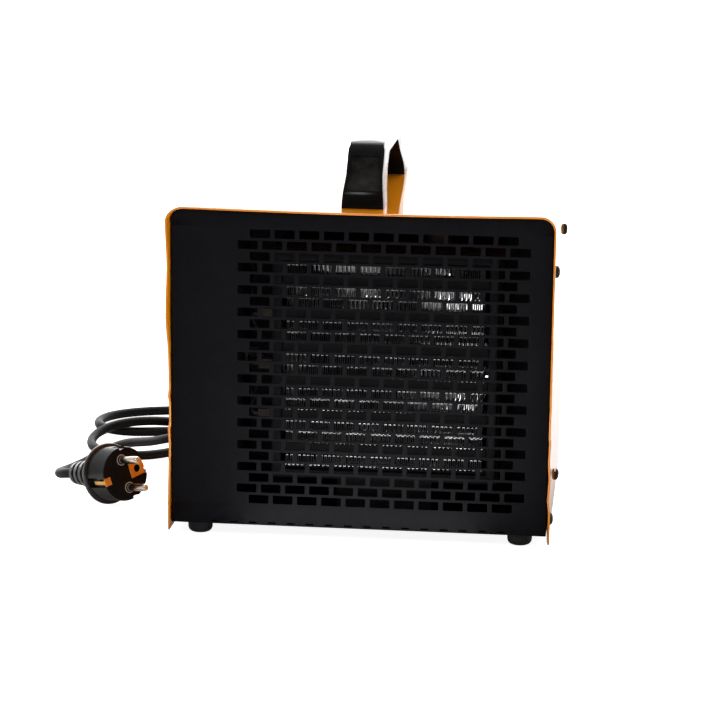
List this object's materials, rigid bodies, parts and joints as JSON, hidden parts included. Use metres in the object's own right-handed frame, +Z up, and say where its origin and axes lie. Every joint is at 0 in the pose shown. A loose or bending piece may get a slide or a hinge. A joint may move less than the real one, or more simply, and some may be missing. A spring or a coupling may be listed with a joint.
{
  "type": "fan heater",
  "caption": "Box-shaped portable ceramic fan heater with folded sheet casing, slotted front and rear grilles, carrying handle, rubber feet, rear dials and a coiled mains lead.",
  "frame": {"origin": "middle of the underside of the feet, without the free lead and its plug", "axes": "+X to the right seen from the front, -Y out of the front grille, +Z up"},
  "size_m": [0.3443, 0.3367, 0.2467],
  "materials": {
    "casing_paint": "glossy orange enamel on steel sheet",
    "chassis_paint": "satin black powder coat on steel sheet",
    "bare_sheet": "plain galvanised sheet",
    "handle_plastic": "glossy black moulding",
    "zinc_screws": "zinc plated",
    "dark_screws": "black phosphated steel",
    "foot_rubber": "matt black rubber",
    "frame_plastic": "heat-resistant black plastic",
    "bar_metal": "dull grey wrapped bars",
    "fin_aluminium": "bright corrugated strip",
    "contact_brass": "plain brass",
    "bakelite": "brown phenolic",
    "core_steel": "laminated steel core",
    "coil_wrap": "varnished winding tape",
    "rotor_steel": "ground steel",
    "blade_aluminium": "plain pressed blades",
    "ivory_plastic": "ivory plastic",
    "knob_plastic": "satin black moulding",
    "wire_insulation": "red silicone insulation",
    "lead_rubber": "satin black sheath",
    "plug_rubber": "satin black moulded rubber",
    "pin_brass": "nickel plated brass"
  },
  "bodies": {
    "heater": {"casing": "casing_paint", "front_and_base": "chassis_paint", "rear_panel": "chassis_paint", "divider": "bare_sheet", "fan_plate": "bare_sheet", "air_duct": "bare_sheet", "duct_bracket": "bare_sheet", "handle": "handle_plastic", "handle_screws": "zinc_screws", "casing_screws": "dark_screws", "rear_screws": "dark_screws", "feet": "foot_rubber", "foot_screws": "zinc_screws", "ptc_frame": "frame_plastic", "ptc_bars": "bar_metal", "ptc_fins": "fin_aluminium", "ptc_terminals": "contact_brass", "thermal_cutout": "bakelite", "motor_bracket": "bare_sheet", "motor_stator": "core_steel", "motor_coil": "coil_wrap", "motor_front_bearing": "zinc_screws", "motor_rear_bearing": "zinc_screws", "motor_screws": "zinc_screws", "thermostat": "ivory_plastic", "mode_switch": "frame_plastic", "control_nuts": "zinc_screws", "terminal_block": "ivory_plastic", "earth_stud": "contact_brass", "grommets": "foot_rubber", "wiring": "wire_insulation", "cable_gland": "frame_plastic", "strain_relief": "lead_rubber", "mains_lead": "lead_rubber", "plug_body": "plug_rubber", "plug_pins": "pin_brass", "plug_earth": "contact_brass"},
    "rotor": {"motor_rotor": "rotor_steel", "fan_blade": "blade_aluminium"},
    "thermostat_dial": {"thermostat_spindle": "rotor_steel", "thermostat_knob": "knob_plastic"},
    "switch_dial": {"switch_spindle": "rotor_steel", "switch_knob": "knob_plastic"}
  },
  "joints": [
    {"name": "fan_spin", "type": "hinge", "parent": "heater", "child": "rotor", "pos_m": [0.01375, 0, 0.1075], "axis": [0, 1, 0], "continuous": true},
    {"name": "thermostat_turn", "type": "hinge", "parent": "heater", "child": "thermostat_dial", "pos_m": [-0.097, 0.085, 0.152], "axis": [0, -1, 0], "range_deg": [0, 270]},
    {"name": "switch_turn", "type": "hinge", "parent": "heater", "child": "switch_dial", "pos_m": [-0.097, 0.085, 0.1], "axis": [0, -1, 0], "range_deg": [0, 135]}
  ]
}
